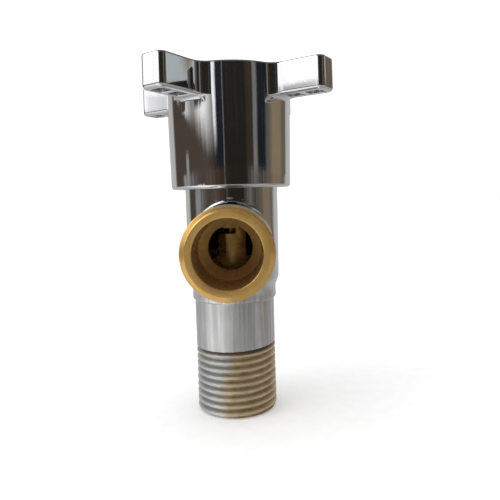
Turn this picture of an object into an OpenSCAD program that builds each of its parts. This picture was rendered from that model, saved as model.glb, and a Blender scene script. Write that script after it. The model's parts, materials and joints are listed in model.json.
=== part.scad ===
// Angle stop valve: a quarter-turn ceramic-disc cartridge in a plated brass body,
// turned by a four-arm handle whose skirt covers the top of the body.
// Origin: centre of the inlet's end face. +Z runs up the valve's axis to the handle.
// The outlet points along -Y. Millimetres throughout.

/* [Inlet] */
// Major diameter of the inlet's pipe thread
inlet_thread_d = 20.955; // [20.90:0.005:21.00]
// Length of the inlet's thread
inlet_thread_len = 16.4; // [12:0.2:18]
// Thread pitch, 14 turns to the inch
thread_pitch = 1.8143; // [1.7:0.01:1.9]
// Diameter of the plain neck where it meets the thread
neck_low_d = 21.0; // [20.9:0.05:21.1]
// Diameter of the plain neck under the collar
neck_d = 21.2; // [21.1:0.05:21.6]
// Diameter of the waterway inside the neck
inlet_bore_d = 13.5; // [11:0.5:14]

/* [Barrel] */
// Height of the collar's lower edge
collar_z = 28.9; // [27.5:0.1:30]
// Diameter of the collar under the barrel
collar_d = 22.3; // [21.8:0.1:22.8]
// Diameter of the barrel where the skirt meets it
barrel_d = 24.8; // [24.4:0.1:25.2]
// Diameter of the barrel at its lower end
barrel_low_d = 24.2; // [23.6:0.1:24.4]
// Height of the body's top face
body_top_z = 65.5; // [65:0.1:65.6]

/* [Outlet] */
// Height of the outlet's axis
outlet_z = 43.5; // [43:0.1:44]
// Distance from the valve's axis to the outlet's end face
outlet_reach = 29.0; // [27:0.2:33]
// Length of the outlet's thread
outlet_thread_len = 11; // [9:0.2:12]
// Diameter of the recess in the outlet's end face
outlet_recess_d = 15.6; // [14.5:0.1:16]
// Diameter of the bore from the recess to the valve chamber
outlet_bore_d = 10.8; // [9:0.2:11.4]

/* [Handle] */
// Height of the skirt's lower edge
skirt_z = 58.0; // [57:0.1:60]
// Height of the handle's top face
handle_top_z = 88.7; // [88.4:0.1:89.2]
// Diameter of the skirt at its lower edge
skirt_d = 31.9; // [31.4:0.1:32.6]
// Diameter of the skirt at its top
skirt_top_d = 33.1; // [32.8:0.1:33.8]
// Distance from the axis to the end of an arm
arm_reach = 29.7; // [27:0.1:33]
// Width of an arm
arm_w = 7.0; // [6.4:0.1:8]
// Height of an arm
arm_h = 8.2; // [7:0.1:9]
// Angle of the first arm from the outlet, seen from above
arm_turn = -33; // [-45:1:45]

/* [Cartridge] */
// Width across the flats of the cartridge's hexagon
hex_af = 21; // [20:0.5:22]
// Diameter of the spindle's journal
spindle_d = 8; // [7.8:0.1:8.1]
// Diameter of the ceramic discs
disc_d = 14.2; // [13.8:0.1:14.3]
// Thickness of each ceramic disc
disc_t = 1.95; // [1.8:0.05:2]

/* [Hidden] */
$fn = 96;

chrome = "gainsboro";
brass = "goldenrod";
rubber = "dimgray";

gap = 0.05;                              // clearance between parts that only sit together
eps = 0.5;                               // overshoot of a cutting tool
thread_depth = 0.64 * thread_pitch;      // depth of a 55 degree pipe thread
thread_crest = 0.26 * thread_pitch;      // flat left at the top of each turn
end_chamfer = 0.9;                       // length of the lead-in at the end of a thread
outlet_lead_in = 1.2;                    // radial width of the outlet's wider lead-in

waterway_top_z = 30.5;                   // where the inlet bore ends
seat_z = 33;                             // face that the rubber seal presses on
seat_hole_d = 9.2;
chamber_d = 18.8;                        // bore that the cartridge hangs in
chamber_top_z = 56;
cap_thread_d = 20.5;                     // thread that holds the cartridge
collar_top_z = collar_z + 3.1;
barrel_z = collar_top_z + 2.4;

outlet_shoulder_y = -outlet_reach + 11;  // bottom of the recess
outlet_bore_y = -outlet_reach + 14.5;    // where the cone runs out into the bore
outlet_recess_low_d = outlet_recess_d - 0.8;

cage_d = 18;                             // lower part of the housing, with the windows
cage_in_d = 14.6;
cage_z = 34.4;
cage_roof_z = 52;
window_low_z = 40.7;
window_high_z = 47.9;
window_step_z = 46.4;                    // the window widens above this height
leg_half = 3.6;                          // half the width of the leg between the windows
flange_z = body_top_z + 1.1;
hex_z = flange_z + 1.4;
neck_z = hex_z + 5.5;
stop_z = 77;                             // top of the housing's guide neck
stop_h = 2;                              // height of the stop wall
guide_d = 13.2;
stop_in_d = 10;

fixed_disc_z = seat_z + 3;
moving_disc_z = fixed_disc_z + disc_t + gap;
foot_z = moving_disc_z + disc_t + gap;   // underside of the spindle's driving bar
foot_h = 2.2;
lug_turn = 45;                           // bearing of the driving lugs, closed
thrust_z = 49.5;
thrust_h = 1.75;
flat_z = stop_z;                         // two flats above this height carry the stop washer
clip_z = stop_z + stop_h + 0.15;
clip_t = 0.8;
square_z = clip_z + clip_t;
square_af = 5.6;
spindle_top_z = 85.3;
journal_r = spindle_d / 2;
guide_clearance = 0.04;                  // running fit of the spindle in its guide
oring_r = 0.68;                          // half the thickness of a spindle O-ring
oring_groove_d = 5.2;
oring_z = [59, 64];

arm_z = handle_top_z - arm_h;
arm_corner_r = 1.8;                      // rounding of an arm's vertical corners
root_r = 4.2;                            // hollow rounding where an arm leaves the skirt
arm_wall = 1.35;
arm_skin = 1.8;                          // thickness left above the hollow in an arm
skirt_wall = 1.9;
roof_z = 85.2;                           // underside of the handle's top
boss_z = square_z + 0.4;
boss_d = 13;
insert_d = 9.2;
insert_top_z = 85.6;
cap_seat_z = 86.4;                       // floor of the recess under the cap
cap_seat_d = 17.4;
cap_top_z = handle_top_z + 1.5;
cap_wall = 0.8;
screw_d = 4;
screw_hole_z = 76;

// A round bar from z = 0 to z = length with a thread's turns as closed rings, and a
// lead-in of the given radial width at z = 0.
module ringed_thread(d, length, pitch, lead_in = end_chamfer) {
    r = d / 2;
    flank = (pitch - 2 * thread_crest) / 2;
    turns = floor((length - end_chamfer - 0.3) / pitch);
    rotate_extrude()
        polygon(concat(
            [[0, 0], [r - lead_in, 0], [r, end_chamfer]],
            [for (i = [0 : turns - 1]) let (z = end_chamfer + thread_crest + i * pitch) each [
                [r, z],
                [r - thread_depth, z + flank],
                [r - thread_depth, z + flank + thread_crest],
                [r, z + pitch - thread_crest]
            ]],
            [[r, length], [0, length]]
        ));
}

module ring(d_out, d_in, z, h) {
    translate([0, 0, z])
        difference() {
            cylinder(d = d_out, h = h);
            translate([0, 0, -eps]) cylinder(d = d_in, h = h + 2 * eps);
        }
}

// Flat wedge from angle a0 to angle a1, at most 120 degrees wide
module wedge(r, a0, a1, z, h) {
    mid = (a0 + a1) / 2;
    translate([0, 0, z])
        linear_extrude(h)
            polygon([
                [0, 0],
                [r * cos(a0), r * sin(a0)],
                [2 * r * cos(mid), 2 * r * sin(mid)],
                [r * cos(a1), r * sin(a1)]
            ]);
}

module sector_ring(d_out, d_in, a0, a1, z, h) {
    intersection() {
        ring(d_out, d_in, z, h);
        wedge(d_out, a0, a1, z - eps, h + 2 * eps);
    }
}

// The two openings through a ceramic disc, centred on the given bearing
module disc_ports(bearing, z) {
    for (side = [0, 180])
        sector_ring(disc_d - 2.4, 3.6, bearing + side - 40, bearing + side + 40, z - eps, disc_t + 2 * eps);
}

module outlet_frame() {
    translate([0, -outlet_reach, outlet_z]) rotate([-90, 0, 0]) children();
}

module valve_body() color(chrome) {
    low_r = barrel_low_d / 2;
    top_r = barrel_d / 2;
    root_of_thread = inlet_thread_d / 2 - thread_depth;
    difference() {
        union() {
            ringed_thread(inlet_thread_d, inlet_thread_len, thread_pitch);
            rotate_extrude()
                polygon([
                    [0, inlet_thread_len - eps],
                    [root_of_thread, inlet_thread_len - eps],
                    [root_of_thread, inlet_thread_len],
                    [inlet_thread_d / 2, inlet_thread_len],
                    [neck_low_d / 2, inlet_thread_len + 0.3],
                    [neck_d / 2, collar_z],
                    [collar_d / 2 - 0.5, collar_z],
                    [collar_d / 2, collar_z + 0.7],
                    [collar_d / 2, collar_top_z],
                    [low_r, barrel_z],
                    [top_r, skirt_z],
                    [top_r, body_top_z - 0.5],
                    [top_r - 0.5, body_top_z],
                    [0, body_top_z]
                ]);
            outlet_frame() {
                ringed_thread(inlet_thread_d, outlet_thread_len, thread_pitch, outlet_lead_in);
                translate([0, 0, outlet_thread_len])
                    cylinder(d1 = neck_low_d, d2 = neck_d, h = outlet_reach - outlet_thread_len);
            }
        }
        translate([0, 0, -eps]) cylinder(d = inlet_bore_d, h = waterway_top_z + eps);
        translate([0, 0, waterway_top_z - eps]) cylinder(d = seat_hole_d, h = seat_z);
        translate([0, 0, seat_z]) cylinder(d = chamber_d, h = body_top_z);
        translate([0, 0, chamber_top_z]) cylinder(d = cap_thread_d, h = body_top_z);
        outlet_frame() {
            rotate_extrude()
                polygon([
                    [0, -eps],
                    [outlet_recess_d / 2, -eps],
                    [outlet_recess_d / 2, 0],
                    [outlet_recess_low_d / 2, outlet_reach + outlet_shoulder_y],
                    [outlet_bore_d / 2, outlet_reach + outlet_bore_y],
                    [0, outlet_reach + outlet_bore_y]
                ]);
            cylinder(d = outlet_bore_d, h = outlet_reach);
        }
    }
}

// Opening in the cage on one side: it cuts the whole side away, and steps over the
// front leg above window_step_z
module cage_window() {
    side = chamber_d;
    rise = window_high_z - window_low_z;
    notch_r = 0.6;
    translate([leg_half, -side / 2, window_low_z]) cube([side, side, rise]);
    translate([-side - leg_half, -side / 2, window_low_z]) cube([side, side, rise]);
    // the step over the left of the front leg, with its lower corner rounded
    translate([-leg_half - eps, -side / 2, window_step_z + notch_r])
        cube([leg_half + eps + 1.2, side / 2 - 4, window_high_z - window_step_z - notch_r]);
    translate([-leg_half - eps, -side / 2, window_step_z])
        cube([leg_half + eps + 1.2 - notch_r, side / 2 - 4, notch_r + eps]);
    translate([1.2 - notch_r, -side / 2, window_step_z + notch_r])
        rotate([-90, 0, 0]) cylinder(r = notch_r, h = side / 2 - 4);
    // the bevel down the left of the front leg
    translate([0, 0, window_low_z])
        linear_extrude(rise)
            polygon([
                [-1.4, -side / 2],
                [-leg_half - eps, -side / 2],
                [-leg_half - eps, -6.6],
                [-1.4, -cage_d / 2 + 0.1]
            ]);
}

module cartridge_housing() color(brass) {
    difference() {
        union() {
            translate([0, 0, cage_z]) cylinder(d = cage_d, h = chamber_top_z - cage_z + 1);
            translate([0, 0, chamber_top_z + 0.6])
                cylinder(d = cap_thread_d - 2 * gap, h = flange_z - chamber_top_z);
            translate([0, 0, flange_z]) cylinder(d = barrel_d - 0.4, h = hex_z - flange_z);
            intersection() {
                translate([0, 0, hex_z - gap])
                    cylinder(d = hex_af / cos(30), h = neck_z - hex_z + gap, $fn = 6);
                translate([0, 0, hex_z - eps])
                    cylinder(d1 = hex_af + 13, d2 = hex_af + 0.6, h = neck_z - hex_z + eps);
            }
            translate([0, 0, neck_z - gap]) cylinder(d = guide_d, h = stop_z - neck_z + gap);
            sector_ring(guide_d, stop_in_d, 0, 90, stop_z - gap, stop_h + gap);
            sector_ring(guide_d, stop_in_d, 90, 180, stop_z - gap, stop_h + gap);
        }
        translate([0, 0, cage_z - eps]) cylinder(d = cage_in_d, h = cage_roof_z - cage_z + eps);
        translate([0, 0, cage_roof_z - eps])
            cylinder(r = journal_r + guide_clearance, h = stop_z - cage_roof_z + 2 * eps);
        // keyways for the fixed disc's ears
        translate([-chamber_d / 2, -1.55, cage_z - eps])
            cube([chamber_d, 3.1, fixed_disc_z + disc_t + gap - cage_z + eps]);
        cage_window();
    }
}

module housing_gasket() color(rubber)
    ring(barrel_d - 0.8, cap_thread_d + 0.2, body_top_z, flange_z - body_top_z);

module seat_seal() color(rubber)
    ring(cage_in_d - 2 * gap, 9.4, seat_z, fixed_disc_z - seat_z);

module seal_support_ring() color("white")
    ring(9.4 - 2 * gap, 8, seat_z + 0.5, fixed_disc_z - seat_z - 0.5 - gap);

module fixed_disc() color("whitesmoke")
    difference() {
        union() {
            translate([0, 0, fixed_disc_z]) cylinder(d = disc_d, h = disc_t);
            translate([-8.4, -1.5, fixed_disc_z]) cube([16.8, 3, disc_t]);
        }
        disc_ports(45, fixed_disc_z);
    }

module moving_disc() color("darkgray")
    difference() {
        translate([0, 0, moving_disc_z]) cylinder(d = disc_d, h = disc_t);
        disc_ports(-45, moving_disc_z);
        for (side = [0, 180])
            rotate([0, 0, lug_turn + side])
                translate([disc_d / 2 - 1.5, -1.4, moving_disc_z + 0.7]) cube([3, 2.8, disc_t]);
    }

module spindle() color(brass)
    difference() {
        union() {
            // driving bar and its two lugs
            intersection() {
                rotate([0, 0, lug_turn])
                    translate([-disc_d / 2, -1.9, foot_z]) cube([disc_d, 3.8, foot_h]);
                translate([0, 0, foot_z - eps]) cylinder(d = disc_d - 0.2, h = foot_h + 2 * eps);
            }
            for (side = [0, 180])
                rotate([0, 0, lug_turn + side])
                    translate([disc_d / 2 - 1.4, -1.3, moving_disc_z + 0.8])
                        cube([1.2, 2.6, foot_z - moving_disc_z]);
            translate([0, 0, foot_z]) cylinder(d = 6, h = thrust_z - foot_z + gap);
            translate([0, 0, thrust_z]) cylinder(d = cage_in_d - 0.8, h = thrust_h);
            translate([0, 0, thrust_z]) cylinder(r = journal_r, h = flat_z - thrust_z);
            intersection() {
                translate([0, 0, flat_z - gap]) cylinder(r = journal_r, h = square_z - flat_z + gap);
                translate([-journal_r, -3.4, flat_z - eps]) cube([spindle_d, 6.8, square_z - flat_z + 1]);
            }
            intersection() {
                translate([-square_af / 2, -square_af / 2, square_z - gap])
                    cube([square_af, square_af, spindle_top_z - square_z + gap]);
                translate([0, 0, square_z - eps]) cylinder(r = journal_r - 0.1, h = spindle_top_z);
            }
        }
        for (z = oring_z)
            ring(spindle_d + 1, oring_groove_d, z - 0.85, 1.7);
        ring(spindle_d + 1, 6.4, clip_z - gap, clip_t + 2 * gap);
        translate([0, 0, screw_hole_z]) cylinder(d = screw_d + 0.04, h = spindle_top_z);
    }

module spindle_oring(z)
    translate([0, 0, z])
        rotate_extrude()
            translate([journal_r - oring_r - 0.01, 0]) circle(r = oring_r, $fn = 48);

module lower_spindle_oring() color(rubber) spindle_oring(oring_z[0]);

module upper_spindle_oring() color(rubber) spindle_oring(oring_z[1]);

module thrust_washer() color("ivory")
    ring(cage_in_d - 0.8, spindle_d + 0.2, thrust_z + thrust_h + gap / 2,
         cage_roof_z - thrust_z - thrust_h - 1.2 * gap);

// A washer on the spindle's two flats. Its quarter-circle lug meets the ends of the
// housing's stop wall a quarter turn apart.
module stop_washer() color("silver")
    difference() {
        union() {
            translate([0, 0, stop_z + gap]) cylinder(d = stop_in_d - 0.3, h = stop_h);
            sector_ring(guide_d - 0.2, stop_in_d - 1, 180.6, 269.4, stop_z + gap, stop_h);
        }
        intersection() {
            translate([0, 0, stop_z - eps]) cylinder(r = journal_r + gap, h = stop_h + 2);
            translate([-5, -3.45, stop_z - eps]) cube([10, 6.9, stop_h + 2]);
        }
    }

module retaining_clip() color("silver")
    difference() {
        ring(11.6, 6.5, clip_z, clip_t);
        translate([-1.6, -7, clip_z - eps]) cube([3.2, 6, clip_t + 2 * eps]);
    }

module handle_insert() color("ivory")
    difference() {
        translate([0, 0, boss_z]) cylinder(d = insert_d - 2 * gap, h = insert_top_z - boss_z - gap);
        translate([-square_af / 2 - gap, -square_af / 2 - gap, boss_z - eps])
            cube([square_af + 2 * gap, square_af + 2 * gap, insert_top_z]);
    }

// Outline of one arm along +X, with the hollow roundings where it leaves the skirt
module arm_outline(r) {
    centre_x = sqrt(pow(r + root_r, 2) - pow(arm_w / 2 + root_r, 2));
    centre_y = arm_w / 2 + root_r;
    touch = r / (r + root_r);
    translate([0, -arm_w / 2]) square([arm_reach - arm_corner_r, arm_w]);
    translate([0, arm_corner_r - arm_w / 2]) square([arm_reach, arm_w - 2 * arm_corner_r]);
    for (side = [-1, 1]) {
        translate([arm_reach - arm_corner_r, side * (arm_w / 2 - arm_corner_r)])
            circle(r = arm_corner_r, $fn = 32);
        difference() {
            polygon([
                [0, 0],
                [centre_x, side * (arm_w / 2 - 0.1)],
                [centre_x, side * centre_y],
                [centre_x * touch, side * centre_y * touch]
            ]);
            translate([centre_x, side * centre_y]) circle(r = root_r, $fn = 64);
        }
    }
}

// Hollow in the underside of one arm along +X, crossed by a rib
module arm_hollow() {
    start = skirt_top_d / 2 + 1.6;
    end = arm_reach - arm_wall;
    rib = 0.9;
    rib_x = start + (end - start) * 0.45;
    width = arm_w - 2 * arm_wall;
    height = arm_h - arm_skin + eps;
    for (span = [[start, rib_x], [rib_x + rib, end]])
        translate([span[0], -width / 2, arm_z - eps]) cube([span[1] - span[0], width, height]);
}

module handle() color(chrome) {
    low_r = skirt_d / 2;
    top_r = skirt_top_d / 2;
    in_r = low_r - skirt_wall;
    difference() {
        union() {
            rotate_extrude()
                polygon([
                    [in_r, skirt_z],
                    [low_r - 0.5, skirt_z],
                    [low_r, skirt_z + 0.6],
                    [top_r, handle_top_z - 0.5],
                    [top_r - 0.5, handle_top_z],
                    [0, handle_top_z],
                    [0, roof_z],
                    [in_r, roof_z]
                ]);
            translate([0, 0, arm_z])
                linear_extrude(arm_h - 0.4)
                    difference() {
                        for (i = [0 : 3])
                            rotate(i * 90 + arm_turn - 90) arm_outline(top_r);
                        circle(r = in_r + 0.5);
                    }
            translate([0, 0, boss_z]) cylinder(d = boss_d, h = roof_z - boss_z + eps);
            for (i = [0 : 3])
                rotate([0, 0, i * 90 + arm_turn])
                    translate([boss_d / 2 - 1, -0.8, roof_z - 3]) cube([in_r - boss_d / 2 + 1.4, 1.6, 3 + eps]);
        }
        for (i = [0 : 3])
            rotate([0, 0, i * 90 + arm_turn - 90]) arm_hollow();
        translate([0, 0, boss_z - eps]) cylinder(d = insert_d, h = insert_top_z - boss_z + eps);
        translate([0, 0, boss_z]) cylinder(d = screw_d + 0.5, h = handle_top_z);
        translate([0, 0, cap_seat_z]) cylinder(d = cap_seat_d, h = handle_top_z);
    }
}

module lock_washer() color("silver")
    difference() {
        ring(7.6, screw_d + 0.3, cap_seat_z, 0.8);
        translate([0, -0.2, cap_seat_z - eps]) cube([5, 0.4, 0.8 + 2 * eps]);
    }

module handle_screw() color("silver") {
    head_z = cap_seat_z + 0.8;
    difference() {
        union() {
            translate([0, 0, head_z - 9.5]) cylinder(d = screw_d, h = 9.6);
            translate([0, 0, head_z])
                rotate_extrude()
                    polygon([[0, 0], [3.6, 0], [3.6, 0.9], [2.9, 1.5], [0, 1.7]]);
        }
        for (turn = [0, 90])
            rotate([0, 0, turn]) translate([-1.9, -0.45, head_z + 0.7]) cube([3.8, 0.9, 2]);
    }
}

module handle_cap() color(chrome)
    rotate_extrude() {
        r = cap_seat_d / 2 - gap;
        polygon([
            [0, cap_top_z],
            [r * 0.55, cap_top_z - 0.18],
            [r - 1, handle_top_z + 0.7],
            [r, handle_top_z + 0.1],
            [r, cap_seat_z + 0.05],
            [r - cap_wall, cap_seat_z + 0.05],
            [r - cap_wall, handle_top_z - 0.1],
            [r * 0.55, cap_top_z - 0.18 - cap_wall],
            [0, cap_top_z - cap_wall]
        ]);
    }

valve_body();
cartridge_housing();
housing_gasket();
seat_seal();
seal_support_ring();
fixed_disc();
moving_disc();
spindle();
lower_spindle_oring();
upper_spindle_oring();
thrust_washer();
stop_washer();
retaining_clip();
handle_insert();
handle();
lock_washer();
handle_screw();
handle_cap();
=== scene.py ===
"""Angle stop valve, seen from the front and a little above its outlet.

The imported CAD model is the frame. The plated body, the handle and its cap are rebuilt here as
finer meshes: a true helical thread, a rolled fillet round the outlet, and rounded casting edges.
"""
import json
import math

import bmesh
import bpy
from mathutils import Matrix, Vector
from mathutils.geometry import delaunay_2d_cdt


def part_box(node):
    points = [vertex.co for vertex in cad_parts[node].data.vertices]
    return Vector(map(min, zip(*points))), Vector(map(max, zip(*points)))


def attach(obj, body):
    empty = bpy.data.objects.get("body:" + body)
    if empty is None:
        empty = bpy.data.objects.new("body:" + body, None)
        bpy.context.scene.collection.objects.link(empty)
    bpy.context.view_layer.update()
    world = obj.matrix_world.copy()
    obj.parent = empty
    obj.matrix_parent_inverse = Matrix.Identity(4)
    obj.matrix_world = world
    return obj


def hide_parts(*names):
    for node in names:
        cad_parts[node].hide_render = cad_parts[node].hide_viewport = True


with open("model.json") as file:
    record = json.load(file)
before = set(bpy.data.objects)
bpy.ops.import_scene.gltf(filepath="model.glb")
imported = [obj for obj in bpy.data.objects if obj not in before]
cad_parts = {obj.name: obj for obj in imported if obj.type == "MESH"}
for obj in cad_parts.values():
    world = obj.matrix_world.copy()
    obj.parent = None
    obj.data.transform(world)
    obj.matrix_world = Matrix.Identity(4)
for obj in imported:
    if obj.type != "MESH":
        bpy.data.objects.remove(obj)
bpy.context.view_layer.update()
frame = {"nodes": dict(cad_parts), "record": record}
MM = 0.001
TURN = 2 * math.pi


# ---------------------------------------------------------------- sizes, in millimetres

def mount(name):
    return next(m for m in frame["record"]["mounts"] if m["name"] == name)


INLET_R = mount("inlet_thread")["dims"]["r_mm"]
BORE_R = mount("inlet_bore")["dims"]["r_mm"]
BORE_TOP = mount("inlet_bore")["dims"]["length_mm"]
OUTLET_Z = mount("outlet_thread")["pos_m"][2] / MM
OUTLET_REACH = -mount("outlet_face")["pos_m"][1] / MM
BODY_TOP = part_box("valve_body")[1][2] / MM
SKIRT_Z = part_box("handle")[0][2] / MM
HANDLE_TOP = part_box("handle")[1][2] / MM
CAP_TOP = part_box("handle_cap")[1][2] / MM
PITCH = 1.8143
THREAD_DEPTH = 0.62 * PITCH
THREAD_LEN = 16.4
OUTLET_THREAD_LEN = 11.0
THREAD_OVERRUN = 0.35        # how far past its length a thread's helical edge starts
RUN_OUT = 1.6                # height over which a thread's last turn runs out
END_ROUND = 0.9
OUTLET_LEAD_IN = 1.2
NECK_LOW_R = 10.5
NECK_R = 10.6
COLLAR_Z = 28.9
COLLAR_R = 11.15
BARREL_Z = 34.4
BARREL_LOW_R = 12.1
BARREL_R = 12.4
SEAT_HOLE_R = 4.6
SEAT_Z = 33.0
CHAMBER_R = 9.4
CHAMBER_TOP = 56.0
TOP_CHAMFER = 0.5
CAP_THREAD_R = 10.25
RECESS_R = 7.8
RECESS_LOW_R = 7.4
OUTLET_BORE_R = 5.4
RECESS_DEPTH = 11.0
BORE_DEPTH = 14.5
JOIN_R = 0.95                # fillet between the outlet and the barrel
JOIN_LOW = 30.0              # heights between which the barrel carries the outlet
JOIN_HIGH = 56.6

SKIRT_LOW_R = 15.95
SKIRT_R = 16.5
SKIRT_IN_R = 14.05
ARM_REACH = 29.7
ARM_W = 7.0
ARM_H = 8.2
ARM_TURN = math.radians(-33 - 90)
ARM_CORNER = 1.8
ARM_EDGE = 0.55
ARM_LOW_EDGE = 1.0
ARM_UNDER = 1.0              # hollow rounding between the skirt and an arm's underside
ARM_ROOT = 4.2
ARM_Z = HANDLE_TOP - ARM_H


# ---------------------------------------------------------------- mesh building

def unit(value):
    """A value held between 0 and 1."""
    return min(max(value, 0), 1)


def polar(radius, bearing, z):
    """A point about the valve's axis."""
    return Vector((radius * math.cos(bearing), radius * math.sin(bearing), z))


def arc(centre, radius, start, stop, steps):
    """Points of an arc in a plane, both ends included."""
    angles = [start + (stop - start) * i / steps for i in range(steps + 1)]
    return [(centre[0] + radius * math.cos(a), centre[1] + radius * math.sin(a)) for a in angles]


def rounded(points, steps=5):
    """An open outline of (x, y, corner radius) with its corners replaced by arcs."""
    out = [points[0][:2]]
    for (ax, ay, _), (bx, by, radius), (cx, cy, _) in zip(points, points[1:], points[2:]):
        corner = Vector((bx, by))
        back = (Vector((ax, ay)) - corner).normalized()
        on = (Vector((cx, cy)) - corner).normalized()
        half = back.angle(on) / 2
        if radius <= 0 or half > math.radians(89.5):
            out.append((bx, by))
            continue
        centre = corner + (back + on).normalized() * (radius / math.sin(half))
        reach = radius / math.tan(half)
        first, last = corner + back * reach - centre, corner + on * reach - centre
        sweep = first.angle_signed(last)
        for i in range(steps + 1):
            turn = Matrix.Rotation(-sweep * i / steps, 2)
            out.append(tuple(centre + turn @ first))
    out.append(points[-1][:2])
    return out


def inside(point, loop):
    """True if a 2-D point is inside a closed loop."""
    x, y = point
    odd = False
    for (ax, ay), (bx, by) in zip(loop, loop[1:] + loop[:1]):
        if (ay > y) != (by > y) and x < (bx - ax) * (y - ay) / (by - ay) + ax:
            odd = not odd
    return odd


class Skin:
    """A surface gathered in millimetres from strips and fills that share their edges."""

    def __init__(self, name, materials):
        self.name, self.materials = name, materials
        self.mesh = bmesh.new()

    def face(self, points, material=0):
        self.mesh.faces.new([self.mesh.verts.new(p) for p in points]).material_index = material

    def strip(self, rows, material=0):
        """Quads between closed rows of equally many points. material is a slot's number, or a
        function that gives it for a point."""
        for low, high in zip(rows, rows[1:]):
            for i in range(len(low)):
                j = (i + 1) % len(low)
                slot = material(low[i]) if callable(material) else material
                self.face([low[i], low[j], high[j], high[i]], slot)

    def fill(self, outer, holes, place, material=0, spare=()):
        """Triangles over a flat outline with holes. place turns its 2-D points into 3-D ones."""
        points, edges = [], []
        for loop in [outer, *holes]:
            start = len(points)
            points += [Vector(p) for p in loop]
            edges += [(start + i, start + (i + 1) % len(loop)) for i in range(len(loop))]
        points += [Vector(p) for p in spare]
        made, _, faces = delaunay_2d_cdt(points, edges, [], 0, 1e-5)[:3]
        for corners in faces:
            middle = sum((made[i] for i in corners), Vector((0, 0))) / 3
            if inside(middle, outer) and not any(inside(middle, h) for h in holes):
                self.face([place(*made[i]) for i in corners], material)

    def object(self, body, slot, *nodes, merge=2e-4, sharp=32):
        bmesh.ops.remove_doubles(self.mesh, verts=self.mesh.verts, dist=merge)
        bmesh.ops.dissolve_degenerate(self.mesh, edges=self.mesh.edges, dist=merge)
        loose = [e for e in self.mesh.edges if not e.link_faces]
        bmesh.ops.delete(self.mesh, geom=loose, context="EDGES")
        bmesh.ops.recalc_face_normals(self.mesh, faces=self.mesh.faces)
        bmesh.ops.scale(self.mesh, verts=self.mesh.verts, vec=(MM, MM, MM))
        for f in self.mesh.faces:
            f.smooth = True
        for e in self.mesh.edges:
            e.smooth = len(e.link_faces) == 2 and e.calc_face_angle(0) < math.radians(sharp)
        gaps = sum(1 for e in self.mesh.edges if len(e.link_faces) != 2)
        print(f"{self.name}: {len(self.mesh.faces)} faces, {gaps} open edges")
        data = bpy.data.meshes.new(self.name)
        self.mesh.to_mesh(data)
        self.mesh.free()
        piece = bpy.data.objects.new(self.name, data)
        bpy.context.scene.collection.objects.link(piece)
        for m in self.materials:
            data.materials.append(m)
        weigh = piece.modifiers.new("even_normals", "WEIGHTED_NORMAL")
        weigh.keep_sharp = True
        weigh.weight = 80
        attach(piece, body)
        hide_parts(*nodes)
        return piece


# ---------------------------------------------------------------- materials

class Nodes:
    """A node tree: node() adds a node and sets or links its inputs."""

    def __init__(self, tree):
        self.tree = tree

    def node(self, kind, inputs=None, **settings):
        n = self.tree.nodes.new("ShaderNode" + kind)
        for key, value in settings.items():
            setattr(n, key, value)
        for key, value in (inputs or {}).items():
            self.join(value, n.inputs[key])
        return n

    def join(self, value, socket):
        if isinstance(value, bpy.types.NodeSocket):
            self.tree.links.new(value, socket)
        else:
            socket.default_value = value

    def place(self):
        return self.node("TexCoord").outputs["Object"]

    def axes(self, vector):
        split = self.node("SeparateXYZ", {0: vector})
        return split.outputs

    def math(self, operation, a, b=0.0, clamp=False):
        n = self.node("Math", {0: a, 1: b}, operation=operation, use_clamp=clamp)
        return n.outputs[0]

    def noise(self, vector, scale, detail=3.0, rough=0.5):
        n = self.node("TexNoise", {"Vector": vector, "Scale": scale, "Detail": detail,
                                   "Roughness": rough})
        return n.outputs["Fac"]

    def span(self, value, low, high, to_low=0.0, to_high=1.0, shape="SMOOTHSTEP"):
        """A smooth step from to_low at low to to_high at high."""
        n = self.node("MapRange", {"Value": value, "From Min": low, "From Max": high,
                                   "To Min": to_low, "To Max": to_high},
                      interpolation_type=shape)
        return n.outputs["Result"]

    def stretch(self, vector, x, y, z):
        n = self.node("Mapping", {"Vector": vector, "Scale": (x, y, z)})
        return n.outputs["Vector"]

    def mix(self, fac, a, b):
        """A blend of two colours, which a colour Mix node takes in its inputs 6 and 7."""
        n = self.node("Mix", data_type="RGBA")
        self.join(fac, n.inputs["Factor"])
        self.join(a, n.inputs[6])
        self.join(b, n.inputs[7])
        return n.outputs[2]

    def bump(self, height, strength, distance, normal=None):
        inputs = {"Height": height, "Strength": strength, "Distance": distance}
        if normal is not None:
            inputs["Normal"] = normal
        return self.node("Bump", inputs).outputs["Normal"]


class Shader(Nodes):
    """A material, whose nodes feed its Principled BSDF."""

    def __init__(self, name, **constants):
        self.material = bpy.data.materials.new(name)
        self.material.use_nodes = True
        super().__init__(self.material.node_tree)
        self.bsdf = self.tree.nodes["Principled BSDF"]
        for key, value in constants.items():
            self.bsdf.inputs[key.replace("_", " ")].default_value = value

    def set(self, **inputs):
        for key, value in inputs.items():
            self.join(value, self.bsdf.inputs[key.replace("_", " ")])
        return self.material


CHROME = (0.70, 0.70, 0.715, 1)
CHROME_DULL = (0.655, 0.655, 0.67, 1)
BRASS = (0.62, 0.385, 0.125, 1)
BRASS_DULL = (0.48, 0.27, 0.075, 1)
# painted shade colour for the bottom of the outlet
BRASS_LOW_SHADE = (0.30, 0.125, 0.045, 1)
BRASS_SHADE = (0.085, 0.030, 0.012, 1)
# a band of stain with painted shade in the thread's last turn
THREAD_STAIN_SHADE = (0.32, 0.25, 0.17, 1)
NECK_STREAK = (0.46, 0.46, 0.46, 1)


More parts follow.
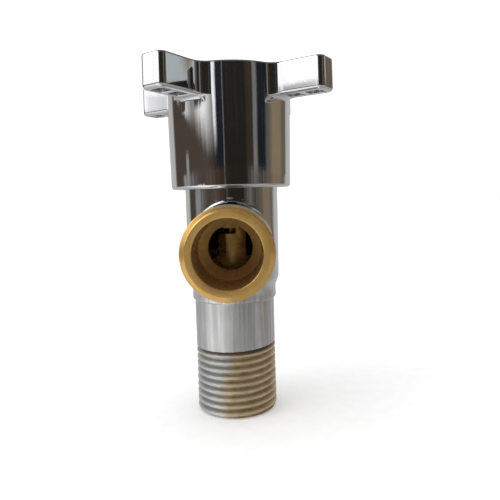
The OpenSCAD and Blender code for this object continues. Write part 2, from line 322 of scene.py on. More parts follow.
def polished_chrome(name):
    """Mirror plate over a buffed casting: slow waviness, faint haze and fine hairlines."""
    s = Shader(name, Metallic=1.0)
    at = s.place()
    haze = s.span(s.noise(at, 90, 4), 0.45, 0.75, 0.035, 0.075)
    hairs = s.span(s.noise(s.stretch(at, 1, 1, 14), 900, 2), 0.62, 0.72, 0, 0.05)
    tint = s.mix(s.span(s.noise(at, 160, 5), 0.35, 0.75), CHROME, CHROME_DULL)
    wave = s.bump(s.noise(at, 70, 1), 0.05, 0.0015)
    grain = s.bump(s.noise(at, 2500, 2), 0.02, 0.0001, wave)
    return s.set(Base_Color=tint, Roughness=s.math("ADD", haze, hairs), Normal=grain)


def plated_body(name):
    """Chrome that is bright on the barrel and goes satin on the turned neck."""
    s = Shader(name, Metallic=1.0)
    at = s.place()
    height = s.axes(at)[2]
    satin = s.span(height, 0.0285, 0.0335, 1, 0)
    streaks = s.noise(s.stretch(at, 1, 1, 0.03), 1100, 4, 0.65)
    clouds = s.noise(at, 220, 4)
    rough = s.math("ADD", s.math("MULTIPLY", satin, 0.18), s.span(clouds, 0.4, 0.8, 0.04, 0.09))
    rough = s.math("ADD", rough, s.math("MULTIPLY", s.math("MULTIPLY", satin, streaks), 0.12))
    tint = s.mix(s.span(clouds, 0.35, 0.75), CHROME, CHROME_DULL)
    wiped = s.math("MULTIPLY", s.span(streaks, 0.40, 0.62), s.math("MULTIPLY", satin, 0.7))
    tint = s.mix(wiped, tint, NECK_STREAK)
    wave = s.bump(s.noise(at, 80, 1), 0.05, 0.0015)
    line = s.bump(s.math("MULTIPLY", streaks, satin), 0.3, 0.00015, wave)
    return s.set(Base_Color=tint, Roughness=rough, Normal=line)


def thread_plate(name):
    """Plate over the left of the thread, worn to brass on the right, with a band of stain and painted
    shade in its last turn.
    """
    s = Shader(name, Metallic=0.8)
    at = s.place()
    x, y, z = s.axes(at)[:3]
    radius = s.math("SQRT", s.math("ADD", s.math("MULTIPLY", x, x), s.math("MULTIPLY", y, y)))
    bearing = s.math("ARCTAN2", x, s.math("MULTIPLY", y, -1))
    wander = s.noise(s.stretch(at, 1, 1, 0.6), 260, 2)
    drift = s.math("MULTIPLY", s.math("SUBTRACT", wander, 0.5), 0.7)
    edge = s.math("ADD", s.math("ADD", bearing, drift), s.math("MULTIPLY", z, -16))
    left = s.math("MAXIMUM", s.span(edge, -0.66, -0.2, 1, 0), s.span(edge, 1.9, 2.6))
    crest = s.span(radius, (INLET_R - 0.6) * MM, (INLET_R - 0.12) * MM)
    grime = s.span(s.noise(at, 420, 4, 0.55), 0.35, 0.75)
    # painted shade: the roots are coloured darker than the crests, in brass and in plate
    brass = s.mix(crest, s.mix(grime, (0.60, 0.48, 0.30, 1), (0.45, 0.34, 0.19, 1)),
                  s.mix(grime, (0.64, 0.53, 0.38, 1), (0.52, 0.41, 0.27, 1)))
    silver = s.mix(crest, (0.47, 0.48, 0.47, 1), (0.56, 0.56, 0.54, 1))
    climb = s.math("MULTIPLY", bearing, PITCH * MM / TURN)
    past = s.math("SUBTRACT", z, s.math("ADD", climb, (THREAD_LEN + THREAD_OVERRUN) * MM))
    # painted shade: the band deepens towards the right-hand side
    shade = s.span(bearing, -0.9, 0.9, 0.45, 0.95)
    stain_and_shade = s.math("MULTIPLY", s.span(past, -1.05 * MM, -0.8 * MM), shade)
    stain_and_shade = s.math("MULTIPLY", stain_and_shade, s.span(z, 0.022, 0.024, 1, 0))
    colour = s.mix(stain_and_shade, s.mix(left, brass, silver), THREAD_STAIN_SHADE)
    rough = s.math("ADD", s.math("MULTIPLY", grime, 0.14), 0.36)
    chatter = s.bump(s.noise(s.stretch(at, 1, 1, 4), 700, 3), 0.06, 0.00006)
    return s.set(Base_Color=colour, Roughness=rough, Normal=chatter)


def machined_brass(name, axis="y", spacing=0.0003, tarnish=0.5, shadow=0.0, metallic=0.72,
                   rough=0.2, low_shade=0.0):
    """Turned brass with fine tool rings, round the outlet's axis (y) or the valve's axis (z).

    spacing is the rings' distance in metres. tarnish, shadow and pool, from 0 to 1, darken the
    brass in clouds, all over as painted shade, and in the lower half of the outlet as painted shade.
    """
    s = Shader(name, Metallic=metallic)
    at = s.place()
    x, y, z = s.axes(at)[:3]
    if axis == "y":
        up = s.math("SUBTRACT", z, OUTLET_Z * MM)
        run = s.math("SQRT", s.math("ADD", s.math("MULTIPLY", x, x), s.math("MULTIPLY", up, up)))
        run = s.math("ADD", run, s.math("MULTIPLY", y, 0.6))
    else:
        run = z
    rings = s.math("SINE", s.math("MULTIPLY", run, TURN / spacing))
    drift = s.noise(at, 160, 2)
    cloud = s.span(s.noise(at, 180, 5, 0.6), 0.38, 0.72, 0, tarnish)
    colour = s.mix(s.math("MULTIPLY", cloud, 1 - shadow), BRASS, BRASS_DULL)
    if axis == "y":
        # painted shade: darker, redder brass towards the bottom of the outlet
        low_shade_mix = s.span(up, 2.5 * MM, -6 * MM, 0, low_shade)
        colour = s.mix(low_shade_mix, colour, BRASS_LOW_SHADE)
    colour = s.mix(shadow, colour, BRASS_SHADE)
    rough = s.span(drift, 0.3, 0.7, rough, rough + 0.14)
    groove = s.bump(s.math("MULTIPLY", rings, drift), 0.10, 0.00003)
    return s.set(Base_Color=colour, Roughness=rough, Normal=groove)


def moulded(name, colour, darker, rough, scale=900, gloss=0.5):
    """Rubber, nylon and ceramic: a fine moulded or lapped surface with slight mottling."""
    s = Shader(name, Metallic=0.0, Specular_IOR_Level=gloss)
    at = s.place()
    mottle = s.span(s.noise(at, scale * 0.4, 5), 0.35, 0.7)
    grain = s.noise(at, scale * 4, 3)
    return s.set(Base_Color=s.mix(mottle, colour, darker),
                 Roughness=s.span(grain, 0.3, 0.7, rough - 0.06, rough + 0.08),
                 Normal=s.bump(grain, 0.15, 0.00005))


def stainless(name):
    s = Shader(name, Metallic=1.0)
    at = s.place()
    brush = s.noise(s.stretch(at, 1, 6, 1), 1500, 3)
    return s.set(Base_Color=s.mix(brush, (0.62, 0.61, 0.60, 1), (0.42, 0.41, 0.40, 1)),
                 Roughness=s.span(brush, 0.3, 0.7, 0.2, 0.38),
                 Normal=s.bump(brush, 0.1, 0.00004))


chrome = polished_chrome("polished_chrome")
body_plate = plated_body("plated_body")
thread_metal = thread_plate("plated_thread")
outlet_brass = machined_brass("machined_brass")
# painted shade: the bore's copy is darkened all over and towards the bottom of the outlet
bore_brass = machined_brass("bore_brass", shadow=0.45, metallic=0.6, low_shade=0.5)
# painted shade: the shoulder's copy darkens towards the bottom of the outlet
shoulder_brass = machined_brass("shoulder_brass", spacing=0.0006, tarnish=0.2, metallic=0.3,
                                low_shade=0.85)
# painted shade: the chamber's copy is darkened almost to black all over
chamber_brass = machined_brass("chamber_brass", "z", shadow=0.93)
cartridge_brass = machined_brass("cartridge_brass", "z", tarnish=0.7, metallic=0.85, rough=0.16)
rubber = moulded("black_rubber", (0.022, 0.022, 0.024, 1), (0.04, 0.04, 0.042, 1), 0.55)
nylon = moulded("white_nylon", (0.75, 0.73, 0.68, 1), (0.62, 0.60, 0.55, 1), 0.42)
pale_ceramic = moulded("pale_ceramic", (0.82, 0.81, 0.78, 1), (0.74, 0.73, 0.70, 1), 0.16)
grey_ceramic = moulded("grey_ceramic", (0.10, 0.10, 0.105, 1), (0.06, 0.06, 0.065, 1), 0.16)
steel = stainless("stainless_steel")

CAD_MATERIALS = {
    "cartridge_housing": cartridge_brass, "spindle": cartridge_brass,
    "housing_gasket": rubber, "seat_seal": rubber,
    "lower_spindle_oring": rubber, "upper_spindle_oring": rubber,
    "seal_support_ring": nylon, "thrust_washer": nylon, "handle_insert": nylon,
    "fixed_disc": pale_ceramic, "moving_disc": grey_ceramic,
    "stop_washer": steel, "retaining_clip": steel, "lock_washer": steel, "handle_screw": steel,
}
for node_name, finish in CAD_MATERIALS.items():
    for slot in frame["nodes"][node_name].material_slots:
        slot.material = finish


# ---------------------------------------------------------------- valve body

ROUND = 192
BEARINGS = [-math.pi + TURN * i / ROUND for i in range(ROUND)]
OUTLET_ROUND = 160


def ring(radius, z):
    """A ring about the valve's axis. radius is a number or a function of the bearing."""
    size = radius if callable(radius) else lambda t: radius
    return [polar(size(t), t, z) for t in BEARINGS]


def outlet_point(radius, turn, reach):
    """A point about the outlet's axis, reach in front of the valve's axis."""
    return Vector((radius * math.cos(turn), -reach, OUTLET_Z + radius * math.sin(turn)))


def outlet_ring(radius, reach):
    """A ring about the outlet's axis. Both sizes are numbers or functions of the turn."""
    size = radius if callable(radius) else lambda t: radius
    away = reach if callable(reach) else lambda t: reach
    turns = [TURN * i / OUTLET_ROUND for i in range(OUTLET_ROUND)]
    return [outlet_point(size(t), t, away(t)) for t in turns]


def past_thread(bearing, along, length):
    """How far a point is beyond the helical edge where the thread meets its neck."""
    start = unit((math.radians(-140) - bearing) / math.radians(40))
    return along - (length + THREAD_OVERRUN + PITCH * bearing / TURN + 0.8 * start)


def from_front(turn):
    """The bearing of a point at this angle about the valve's axis, 0 at the outlet's side."""
    return (turn + 1.5 * math.pi) % TURN - math.pi


def thread_radius(bearing, along, length, end):
    """Right-hand pipe thread with rounded crests and roots, run out against a plain neck.

    bearing, from -pi to pi, is counter-clockwise as seen from the neck. The last turn ends where
    it jumps. along is measured from the thread's end, whose shape end(along) gives.
    """
    crest, root = 0.3, 0.14
    phase = (along / PITCH - bearing / TURN + 0.36) % 1
    rise = min(phase, 1 - phase) * 2
    slope = unit((rise - crest) / (1 - crest - root))
    cut = slope * slope * (3 - 2 * slope) * 0.5 + slope * 0.5
    over = past_thread(bearing, along, length)
    last_turn = unit((over + 1.1) / 0.3)
    fade = unit((math.radians(165) - bearing) / math.radians(60))
    neck = unit((over + 0.1) / 0.22)
    depth = THREAD_DEPTH * cut * (1 - last_turn * (1 - fade))
    depth *= 1 - neck
    radius = INLET_R * (1 - neck) + NECK_LOW_R * neck - depth
    return min(radius, end(along)) if along < length / 2 else radius


def round_end(along):
    """A rounded thread end."""
    left = max(END_ROUND - along, 0)
    return INLET_R - END_ROUND + math.sqrt(END_ROUND ** 2 - left ** 2)


def chamfered_end(along):
    """The outlet's wide, flat lead-in."""
    return INLET_R - OUTLET_LEAD_IN * max(1 - along / END_ROUND, 0)



# neck, collar, barrel and top, as (height, radius, corner radius)
BODY_OUTLINE = rounded([
    (THREAD_LEN + RUN_OUT, NECK_LOW_R, 0), (COLLAR_Z - 0.1, NECK_R, 0.25),
    (COLLAR_Z + 0.1, COLLAR_R, 0.5), (BARREL_Z - 2.4, COLLAR_R, 1.2),
    (BARREL_Z, BARREL_LOW_R, 1.6), (SKIRT_Z, BARREL_R, 0),
    (BODY_TOP - TOP_CHAMFER, BARREL_R, 0.1), (BODY_TOP, BARREL_R - TOP_CHAMFER, 0),
])


def barrel_radius(z):
    """The body's outside radius at a height above its thread."""
    for (z0, r0), (z1, r1) in zip(BODY_OUTLINE, BODY_OUTLINE[1:]):
        if z0 <= z <= z1 and z1 > z0:
            return r0 + (r1 - r0) * (z - z0) / (z1 - z0)
    return BARREL_R


def join_curves():
    """Arcs of a ball rolled round the outlet's root, each from the outlet to the barrel."""
    parts, spacing, count = 8, 0.02, 1400
    samples = [JOIN_LOW + spacing * i for i in range(count)]
    barrel = [(z, barrel_radius(z)) for z in samples]
    rows = []
    for i in range(OUTLET_ROUND):
        turn = TURN * i / OUTLET_ROUND
        x = (NECK_R + JOIN_R) * math.cos(turn)
        z = OUTLET_Z + (NECK_R + JOIN_R) * math.sin(turn)
        near = [(r + math.sqrt(JOIN_R ** 2 - (z - at) ** 2), at, r)
                for at, r in barrel if abs(z - at) < JOIN_R]
        far, touch_z, touch_r = max(near)
        y = -math.sqrt(far * far - x * x)
        ball = Vector((x, y, z))
        first = Vector((NECK_R * math.cos(turn), y, OUTLET_Z + NECK_R * math.sin(turn))) - ball
        last = Vector((x / far * touch_r, y / far * touch_r, touch_z)) - ball
        rows.append([ball + first.slerp(last, k / parts) for k in range(parts + 1)])
    return rows


def patch(skin, hole, radius, low, high, material, step):
    """A stretch of wall about the valve's axis, with a hole, from height low to height high.

    The wall is laid out flat, filled with triangles and rolled up again. radius(z) is its radius
    and step is the height of its rows.
    """
    scale = radius(0.5 * (low + high))
    u_of = lambda t: t * scale
    columns = BEARINGS + [math.pi]
    rows = max(2, round((high - low) / step))
    heights = [low + (high - low) * i / rows for i in range(rows + 1)]
    outer = [(u_of(t), low) for t in columns]
    outer += [(u_of(math.pi), z) for z in heights[1:-1]]
    outer += [(u_of(t), high) for t in reversed(columns)]
    outer += [(u_of(-math.pi), z) for z in reversed(heights[1:-1])]
    flat = [(u_of(math.atan2(p.y, p.x)), p.z) for p in hole]
    keep_off = 0.35          # distance from the hole's edge that stays free of other points
    spare = []
    for t in columns[1:-1]:
        for z in heights[1:-1]:
            at = (u_of(t), z)
            nearest = min(math.hypot(at[0] - h[0], at[1] - h[1]) for h in flat)
            if nearest > keep_off and not inside(at, flat):
                spare.append(at)

    exact = {(round(f[0], 4), round(f[1], 4)): p for f, p in zip(flat, hole)}

    def place(u, z):
        held = exact.get((round(u, 4), round(z, 4)))
        if held is not None:
            return held
        return polar(radius(z), u / scale, z)

    skin.fill(outer, [flat], place, material, spare)


def cut_profile(profile, depth):
    """The point of a (radius, depth) profile at a depth."""
    for (r0, d0), (r1, d1) in zip(profile, profile[1:]):
        if d0 <= depth <= d1 and d1 > d0:
            return (r0 + (r1 - r0) * (depth - d0) / (d1 - d0), depth)
    return profile[-1]


def build_body():
    PLATE, THREAD, BRASS_FACE, BORE, SHOULDER, CHAMBER = range(6)
    skin = Skin("plated_valve_body", [body_plate, thread_metal, outlet_brass, bore_brass,
                                      shoulder_brass, chamber_brass])

    # inlet thread and end face
    rows = 252
    heights = [(THREAD_LEN + RUN_OUT) * i / rows for i in range(rows + 1)]

    def inlet_finish(point):
        """The plate starts a hair before the thread's edge."""
        bearing = from_front(math.atan2(point.y, point.x))
        return PLATE if past_thread(bearing, point.z, THREAD_LEN) > -0.06 else THREAD

    def inlet_ring(z):
        return ring(lambda t: thread_radius(from_front(t), z, THREAD_LEN, round_end), z)
    skin.strip([inlet_ring(z) for z in heights], inlet_finish)
    bevel = 0.4
    skin.strip([inlet_ring(0), ring(BORE_R + bevel, 0), ring(BORE_R, bevel)], BRASS_FACE)
    skin.strip([ring(BORE_R, bevel), ring(BORE_R, BORE_TOP), ring(SEAT_HOLE_R, BORE_TOP),
                ring(SEAT_HOLE_R, SEAT_Z), ring(CHAMBER_R, SEAT_Z)], BORE)

    # outside: neck, collar, the stretch with the outlet, and the top
    fillet = join_curves()
    lower = [ring(r, z) for z, r in BODY_OUTLINE if z < JOIN_LOW]
    upper = [ring(r, z) for z, r in BODY_OUTLINE if z > JOIN_HIGH]
    root_hole = [row[-1] for row in fillet]
    skin.strip(lower + [ring(barrel_radius(JOIN_LOW), JOIN_LOW)], PLATE)
    patch(skin, root_hole, barrel_radius, JOIN_LOW, JOIN_HIGH, PLATE, 0.55)
    skin.strip([ring(barrel_radius(JOIN_HIGH), JOIN_HIGH)] + upper, PLATE)

    # chamber, with the outlet's bore running into it
    bore_end = outlet_ring(OUTLET_BORE_R, 0)
    for p in bore_end:
        p.y = -math.sqrt(CHAMBER_R ** 2 - p.x ** 2)
    chamber_low, chamber_high = OUTLET_Z - 8, OUTLET_Z + 8
    skin.strip([ring(CHAMBER_R, SEAT_Z), ring(CHAMBER_R, chamber_low)], CHAMBER)
    patch(skin, bore_end, lambda z: CHAMBER_R, chamber_low, chamber_high, CHAMBER, 1.0)
    skin.strip([ring(CHAMBER_R, chamber_high), ring(CHAMBER_R, CHAMBER_TOP),
                ring(CAP_THREAD_R, CHAMBER_TOP), ring(CAP_THREAD_R, BODY_TOP),
                ring(BARREL_R - TOP_CHAMFER, BODY_TOP)], CHAMBER)

    # outlet: fillet, plain root, thread, end face, recess and bore
    skin.strip([list(line) for line in reversed(list(zip(*fillet)))], PLATE)
    contact = [row[0] for row in fillet]
    turned = OUTLET_THREAD_LEN + RUN_OUT
    rows = 180
    steps = [turned * i / rows for i in range(rows + 1)]
    edge = min(a for a in steps if a >= END_ROUND + 0.7 * PITCH)

    def thread_ring(a):
        return outlet_ring(lambda t: thread_radius(math.pi - t, a, OUTLET_THREAD_LEN, chamfered_end),
                           OUTLET_REACH - a)
    plain = thread_ring(turned)
    parts = 5
    skin.strip([[a.lerp(b, k / parts) for a, b in zip(contact, plain)] for k in range(parts + 1)],
               PLATE)
    skin.strip([thread_ring(a) for a in steps if a >= edge], THREAD)
    skin.strip([thread_ring(a) for a in steps if a <= edge], BRASS_FACE)
    deepest = BORE_DEPTH + 2
    inner = rounded([
        (INLET_R - OUTLET_LEAD_IN, 0, 0), (RECESS_R, 0, 0.22),
        (RECESS_LOW_R, RECESS_DEPTH, 0.5), (OUTLET_BORE_R, BORE_DEPTH, 0.25),
        (OUTLET_BORE_R, deepest, 0),
    ], 4)

    # the finish changes at the end of the lip, above the shoulder and where the bore begins
    changes = (0, 1.0, RECESS_DEPTH - 0.8, BORE_DEPTH, deepest)
    begin = []
    for low, high, finish in zip(changes, changes[1:], (BRASS_FACE, BORE, SHOULDER, CHAMBER)):
        end = cut_profile(inner, high)
        cuts = begin + [(r, d) for r, d in inner if low <= d < high] + [end]
        skin.strip([outlet_ring(r, OUTLET_REACH - d) for r, d in cuts], finish)
        begin = [end]
    skin.strip([outlet_ring(OUTLET_BORE_R, OUTLET_REACH - deepest), bore_end], CHAMBER)
    return skin.object("body", "plated_brass", "valve_body")


# ---------------------------------------------------------------- handle

def arm_outline():
    """The handle's plan: a list of (point, outward normal, is it on an arm), anticlockwise."""
    half = ARM_W / 2
    cy = half + ARM_ROOT
    cx = math.sqrt((SKIRT_R + ARM_ROOT) ** 2 - cy ** 2)
    root = math.atan2(cy, cx)
    tip = ARM_REACH - ARM_CORNER
    one = []

    def add_arc(centre, radius, start, stop, steps, sense):
        for x, y in arc(centre, radius, start, stop, steps):
            n = (Vector((x, y)) - Vector(centre)).normalized() * sense
            one.append((Vector((x, y)), n, True))

    add_arc((cx, -cy), ARM_ROOT, math.pi - root, math.pi / 2, 14, -1)
    for k in range(1, 6):
        one.append((Vector((cx + (tip - cx) * k / 6, -half)), Vector((0, -1)), True))
    add_arc((tip, ARM_CORNER - half), ARM_CORNER, -math.pi / 2, 0, 8, 1)
    for k in range(1, 4):
        one.append((Vector((ARM_REACH, (half - ARM_CORNER) * (k / 2 - 1))), Vector((1, 0)), True))
    add_arc((tip, half - ARM_CORNER), ARM_CORNER, 0, math.pi / 2, 8, 1)
    for k in range(5, 0, -1):
        one.append((Vector((cx + (tip - cx) * k / 6, half)), Vector((0, 1)), True))
    add_arc((cx, cy), ARM_ROOT, -math.pi / 2, root - math.pi, 14, -1)
    steps = 22
    gap = math.pi / 2 - 2 * root
    for k in range(1, steps):
        a = root + gap * k / steps
        n = Vector((math.cos(a), math.sin(a)))
        one.append((n * SKIRT_R, n, False))
    outline = []
    for arm in range(4):
        turn = Matrix.Rotation(ARM_TURN + arm * math.pi / 2, 2)
        outline += [(turn @ p, turn @ n, on) for p, n, on in one]
    return outline


def pocket(start, stop, width, corner):
    """Outline of a pocket with round corners, in an arm's own plane, anticlockwise."""
    low, high, side = start + corner, stop - corner, width / 2 - corner
    centres = (((low, -side), 1), ((high, -side), 1.5), ((high, side), 0), ((low, side), 0.5))
    out = []
    for centre, half_turns in centres:
        begin = half_turns * math.pi
        out += arc(centre, corner, begin, begin + math.pi / 2, 4)
    return out


def build_handle():
    skin = Skin("chrome_handle", [chrome])
    outline = arm_outline()
    count = len(outline)
    per_arm = count // 4

    # the bearing of each point of the plan, which is where its wall's foot meets the skirt
    feet = [math.atan2(p.y, p.x) for p, n, on in outline]

    def circle(radius, z):
        return [polar(radius, t, z) for t in feet]

    def offset(inset, z):
        """The plan drawn in by a distance, which may differ from point to point."""
        return [Vector((*(p - n * d), h)) for (p, n, on), d, h in zip(outline, inset, z)]

    # both roundings shrink to nothing where an arm grows out of the skirt
    growth = 0.4
    out_by = [max(p.length - SKIRT_R, 0) for p, n, on in outline]
    under = [min(ARM_UNDER, growth * d) for d in out_by]
    edge = [min(ARM_LOW_EDGE, growth * d) for d in out_by]
    steps = 5
    quarter = [math.pi / 2 * k / steps for k in range(steps + 1)]

    # lathe part: cap seat, screw hole, insert pocket, boss, roof, inside and lip of the skirt
    cap_seat_z, roof_z, boss_z, pocket_z = 86.4, 85.2, 80.35, 85.6
    cap_hole_r, screw_hole_r, pocket_r, boss_r = 8.7, 2.25, 4.6, 6.5
    profile = rounded([
        (cap_hole_r + 0.35, HANDLE_TOP, 0), (cap_hole_r, HANDLE_TOP, 0.3),
        (cap_hole_r, cap_seat_z, 0.2), (screw_hole_r, cap_seat_z, 0),
        (screw_hole_r, pocket_z, 0), (pocket_r, pocket_z, 0),
        (pocket_r, boss_z, 0), (boss_r, boss_z, 0.4),
        (boss_r, roof_z, 1.0), (SKIRT_IN_R, roof_z, 1.5),
        (SKIRT_IN_R, SKIRT_Z, 0.45), (SKIRT_LOW_R, SKIRT_Z, 0.8),
        (SKIRT_R, ARM_Z, 0),
    ])
    lathe = [circle(r, z) for r, z in profile[:-1]]
    skin.strip(lathe)

    # wall of the skirt, up to the line where the arms leave it
    skirt_top = [polar(SKIRT_R, t, ARM_Z - u) for t, u in zip(feet, under)]
    parts = 8
    skin.strip([[a.lerp(b, k / parts) for a, b in zip(lathe[-1], skirt_top)]
                for k in range(parts + 1)])

    # hollow rounding from the skirt to the underside of each arm
    def under_row(a):
        out, up = 1 - math.cos(a), math.sin(a)
        return [polar(SKIRT_R + u * out, t, ARM_Z - u + u * up) for t, u in zip(feet, under)]
    inner_edge = [under_row(a) for a in quarter]
    skin.strip(inner_edge)

    # lower edge, side walls and upper edge of the arms
    low_edge = [offset([e * (1 - math.sin(a)) for e in edge],
                       [ARM_Z + e * (1 - math.cos(a)) for e in edge])
                for a in quarter]
    skin.strip(low_edge)
    top_start = HANDLE_TOP - ARM_EDGE
    walls = [offset([0] * count, [z] * count) for z in (top_start - 3, top_start)]
    skin.strip([low_edge[-1]] + walls)
    high_edge = [offset([ARM_EDGE * (1 - math.cos(a))] * count,
                        [top_start + ARM_EDGE * math.sin(a)] * count)
                 for a in quarter]
    skin.strip(high_edge)
    skin.fill([tuple(p.xy) for p in high_edge[-1]], [[tuple(p.xy) for p in lathe[0]]],
              lambda x, y: Vector((x, y, HANDLE_TOP)))

    # flat underside of each arm, with its two pockets
    start, stop, rib, width = SKIRT_R + 1.6, ARM_REACH - 1.3, 0.9, ARM_W - 2.4
    rib_at = start + (stop - start) * 0.45

    # a pocket's wall, as (how far it is drawn in, height), up to its floor
    levels = [(0.0, ARM_Z), (0.1, ARM_Z + 0.07), (0.22, ARM_Z + 0.25),
              (0.5, HANDLE_TOP - 2.1), (0.8, HANDLE_TOP - 1.8)]
    floor_z = levels[-1][1]
    for arm in range(4):
        turn = Matrix.Rotation(ARM_TURN + arm * math.pi / 2, 2)
        span = range(arm * per_arm, arm * per_arm + sum(1 for p in outline[:per_arm] if p[2]))
        middle = span[4:-4]
        rim = [tuple(low_edge[0][i].xy) for i in middle]
        rim += [tuple(inner_edge[-1][i].xy) for i in reversed(middle)]
        for i, j in zip(span, span[1:]):
            if i < middle[0] or j > middle[-1]:
                skin.face([low_edge[0][i], low_edge[0][j], inner_edge[-1][j], inner_edge[-1][i]])
        holes = []
        for low, high in ((start, rib_at), (rib_at + rib, stop)):
            loops = [[turn @ Vector(p) for p in pocket(low + d, high - d, width - 2 * d, 0.85)]
                     for d, z in levels]
            skin.strip([[Vector((*p, z)) for p in loop] for loop, (d, z) in zip(loops, levels)])
            skin.fill([tuple(p) for p in loops[-1]], [], lambda x, y: Vector((x, y, floor_z)))
            holes.append([tuple(p) for p in loops[0]])
        skin.fill(rim, holes, lambda x, y: Vector((x, y, ARM_Z)))
    return skin.object("turning", "plated_zinc", "handle")


def build_cap():
    """The low domed cap over the screw, hollow underneath."""
    skin = Skin("chrome_cap", [chrome])
    cap_r, wall, low = 8.62, 0.8, 86.5
    dome_r, rise, sweep = cap_r * 0.94, 0.85, 1.0
    dome = [(dome_r * math.sin(a) / math.sin(sweep),
             CAP_TOP - rise * (1 - math.cos(a)) / (1 - math.cos(sweep)))
            for a in [sweep * k / 10 for k in range(11)]]
    profile = dome[:-1] + rounded([
        (*dome[-1], 0), (cap_r, HANDLE_TOP + 0.2, 0.25), (cap_r, low, 0.1),
        (cap_r - wall, low, 0.1), (cap_r - wall, HANDLE_TOP - 0.2, 0.3), (0.6, HANDLE_TOP + 0.55, 0),
    ])
    around = 128
    turns = [TURN * k / around for k in range(around)]
    rows = [[polar(x, t, z) for t in turns] for x, z in profile]
    skin.strip(rows[1:])

    # the first and last rings close on a point, the dome's top and the hollow's
    for row, z in ((rows[1], profile[0][1]), (rows[-1], profile[-1][1])):
        for a, b in zip(row, row[1:] + row[:1]):
            skin.face([a, b, Vector((0, 0, z))])
    return skin.object("turning", "plated_cap", "handle_cap")


build_body()
build_handle()
build_cap()


# ---------------------------------------------------------------- studio

def studio_floor():
    """A wide pale floor. The metal reflects the room in its place."""
    size = 4.0
    data = bpy.data.meshes.new("studio_floor")
    corners = [(-size, -size, 0), (size, -size, 0), (size, size, 0), (-size, size, 0)]
    data.from_pydata(corners, [], [(0, 1, 2, 3)])
    floor = bpy.data.objects.new("studio_floor", data)
    bpy.context.scene.collection.objects.link(floor)
    s = Shader("pale_floor", Roughness=0.9)
    paper = s.noise(s.place(), 300, 3)
    tint = s.mix(s.span(paper, 0.2, 0.8), (0.93, 0.93, 0.93, 1), (0.90, 0.90, 0.90, 1))
    data.materials.append(s.set(Base_Color=tint))
    floor.visible_glossy = False


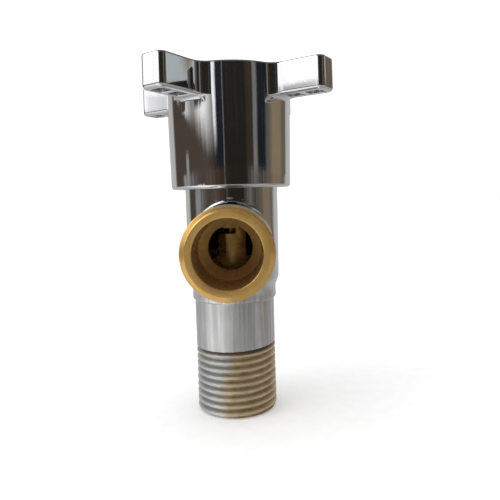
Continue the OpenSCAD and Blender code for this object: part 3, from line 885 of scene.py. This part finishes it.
def studio_world():
    """Even white light on the stage. Metal sees a room: a tall window on the left, a dark
    middle, a tan wall on the right and a pale backdrop behind the object."""
    world = bpy.data.worlds.new("studio")
    bpy.context.scene.world = world
    world.use_nodes = True
    s = Nodes(world.node_tree)
    background = s.tree.nodes["Background"]
    x, y, z = s.axes(s.node("TexCoord").outputs["Generated"])[:3]
    bearing = s.math("ARCTAN2", x, s.math("MULTIPLY", y, -1))
    around = s.math("ADD", s.math("MULTIPLY", bearing, 1 / TURN), 0.5)

    def bands(stops):
        """Colours round the room, as (bearing in degrees, colour)."""
        n = s.node("ValToRGB", {0: around})
        ramp = n.color_ramp
        ramp.interpolation = "LINEAR"
        while len(ramp.elements) > 1:
            ramp.elements.remove(ramp.elements[0])
        ramp.elements[0].position = 0
        ramp.elements[0].color = (*stops[0][1], 1)
        for degrees, colour in stops[1:]:
            e = ramp.elements.new((degrees + 180) / 360)
            e.color = (*colour, 1)
        return n.outputs[0]

    grey, white, black = (0.55, 0.55, 0.54), (1.5, 1.5, 1.5), (0.014, 0.017, 0.022)
    brown, umber, bark = (0.085, 0.066, 0.05), (0.021, 0.018, 0.014), (0.045, 0.033, 0.022)
    tan, tan_dim, line = (0.29, 0.22, 0.14), (0.17, 0.14, 0.10), (0.22, 0.22, 0.20)
    behind = [(128, tan_dim), (134, grey), (180, grey)]
    right = [(-20, black), (-9.5, black), (-8.6, line), (-7, umber), (31, umber), (35, bark),
             (45, bark), (47, line), (52, line), (56, black), (69, black), (75, (0.13, 0.13, 0.12)),
             (79, (0.13, 0.11, 0.09)), (88, tan), (108, tan), (118, tan_dim)] + behind
    left = [(-180, grey), (-127, grey), (-121, brown), (-109, brown)]
    window = bands(left + [(-106, white), (-24, white)] + right)
    low_window = bands(left + [
        (-106, white), (-81, white), (-74, (0.70, 0.70, 0.69)), (-70, (0.42, 0.42, 0.40)),
        (-65, (0.42, 0.42, 0.40)), (-58, (0.72, 0.72, 0.71)), (-53, (1.0, 1.0, 0.99)),
        (-44, (1.15, 1.15, 1.14)), (-37, (0.86, 0.86, 0.84)), (-28, (0.34, 0.34, 0.33)), (180, black)])
    room = bands(left + [(-40, brown), (-26, bark)] + right)
    sill_shade = bands([
        (-180, grey), (-127, grey), (-120, brown), (-100, brown), (-94, (0.4, 0.41, 0.4)),
        (-84, (0.36, 0.36, 0.35)), (-76, (0.25, 0.25, 0.24)), (-64, (0.12, 0.11, 0.1)), (-52, brown),
        (-34, (0.12, 0.1, 0.08)), (-22, (0.09, 0.05, 0.03)), (-8, bark), (2, (0.024, 0.021, 0.015)),
        (32, (0.024, 0.021, 0.015)), (44, (0.17, 0.17, 0.15)), (55, (0.12, 0.11, 0.09)),
        (67, (0.13, 0.12, 0.1)), (80, (0.15, 0.12, 0.08)), (94, (0.25, 0.19, 0.13)),
        (110, (0.21, 0.18, 0.14)), (120, tan_dim), (132, grey), (180, grey)])
    table = bands([
        (-180, grey), (-146, (0.52, 0.53, 0.53)), (-101, (0.62, 0.62, 0.61)),
        (-70, (1.15, 1.14, 1.12)), (-42, (1.12, 1.11, 1.09)), (-20, (0.66, 0.66, 0.64)),
        (2, (0.52, 0.52, 0.51)), (30, (0.36, 0.36, 0.35)), (60, (0.45, 0.44, 0.43)),
        (76, (0.48, 0.47, 0.45)), (92, (0.34, 0.33, 0.31)), (104, (0.36, 0.35, 0.33)),
        (133, (0.50, 0.49, 0.48)), (180, grey)])

    def turned(start, stop, before=0, after=1, shape="SMOOTHSTEP"):
        """A step between two bearings, in degrees."""
        return s.span(bearing, math.radians(start), math.radians(stop), before, after, shape)

    def fine(scale, detail):
        """Narrow upright streaks round the room."""
        across = s.node("CombineXYZ", {0: s.math("MULTIPLY", bearing, scale)})
        return s.noise(across.outputs[0], 1, detail)

    # the window has curtain folds, and is dimmer low down and at its right
    folds = s.span(fine(80, 1), 0.60, 0.70, 0, 0.85)
    window = s.mix(folds, window, (0.10, 0.10, 0.10, 1))
    high = s.math("MAXIMUM", s.span(z, 0.195, 0.21), turned(-27, -23))
    window = s.mix(high, low_window, window)
    slats = s.span(fine(17, 3), 0.42, 0.62, 0, 1)
    sill_shade = s.mix(s.math("MULTIPLY", slats, 0.7), sill_shade, room)

    # a pale corner in the tan wall
    corner = s.math("MULTIPLY", turned(86, 92), turned(106.4, 106.9, 1, 0))
    corner = s.math("MULTIPLY", corner, s.span(z, 0.195, 0.215))
    window = s.mix(corner, window, (0.52, 0.57, 0.58, 1))

    # a ragged sill that falls to the right, with a glint below it
    sill = turned(-110, -35, 0.170, 0.075, "LINEAR")
    blur = turned(-100, -55, 0.016, 0.045)
    jag = s.math("MULTIPLY", s.math("SUBTRACT", fine(14, 3), 0.5), blur)
    above = s.span(s.math("DIVIDE", s.math("ADD", s.math("SUBTRACT", z, sill), jag), blur), -1, 1)
    glint = s.math("MULTIPLY", turned(-89, -85), turned(-82, -78, 1, 0))
    glint = s.math("MULTIPLY", glint, s.span(z, 0.035, 0.06, 1, 0))
    room = s.mix(glint, room, (0.36, 0.37, 0.35, 1))

    # from the table up to the ceiling, which starts higher over the window
    walls = s.mix(above, room, window)
    walls = s.mix(s.span(z, 0.004, 0.016, 1, 0), walls, sill_shade)
    walls = s.mix(s.span(z, -0.165, -0.13, 1, 0), walls, table)
    tall = turned(-66, -50, 0.74, 0.50)
    ceiling = s.mix(s.span(s.math("SUBTRACT", z, tall), 0, 0.08), walls, (0.13, 0.125, 0.11, 1))
    path = s.node("LightPath")
    plain = (1.15, 1.15, 1.15, 1)
    s.join(s.mix(path.outputs["Is Glossy Ray"], plain, ceiling), background.inputs["Color"])
    background.inputs["Strength"].default_value = 1.0


def soft_light(name, at, size, power, target=(0, 0, 0.05)):
    data = bpy.data.lights.new(name, "AREA")
    data.shape, data.size, data.energy = "DISK", size, power
    light = bpy.data.objects.new(name, data)
    light.location = at
    light.rotation_euler = (Vector(target) - Vector(at)).to_track_quat("-Z", "Y").to_euler()
    bpy.context.scene.collection.objects.link(light)


def set_camera():
    """Eye level just under the handle, a touch right of the outlet's axis."""
    data = bpy.data.cameras.new("camera")
    data.sensor_width = 36
    data.lens = 36
    data.shift_y = -0.114
    data.clip_start = 0.01
    camera = bpy.data.objects.new("camera", data)
    eye = (0.0062, -0.1356, 0.0560)
    yaw, pitch, roll = math.radians(-0.5), math.radians(-0.26), math.radians(-1.79)
    forward = Vector((math.sin(yaw) * math.cos(pitch), math.cos(yaw) * math.cos(pitch),
                      -math.sin(pitch)))
    right = forward.cross(Vector((0, 0, 1))).normalized()
    up = right.cross(forward)
    across = right * math.cos(roll) + up * math.sin(roll)
    upward = up * math.cos(roll) - right * math.sin(roll)
    rows = [(across[k], upward[k], -forward[k], eye[k]) for k in range(3)]
    camera.matrix_world = Matrix((*rows, (0, 0, 0, 1)))
    bpy.context.scene.collection.objects.link(camera)
    bpy.context.scene.camera = camera


studio_floor()
studio_world()
soft_light("key", (-0.75, -0.35, 0.8), 0.8, 3.0)
set_camera()
bpy.context.scene.view_settings.view_transform = "Standard"
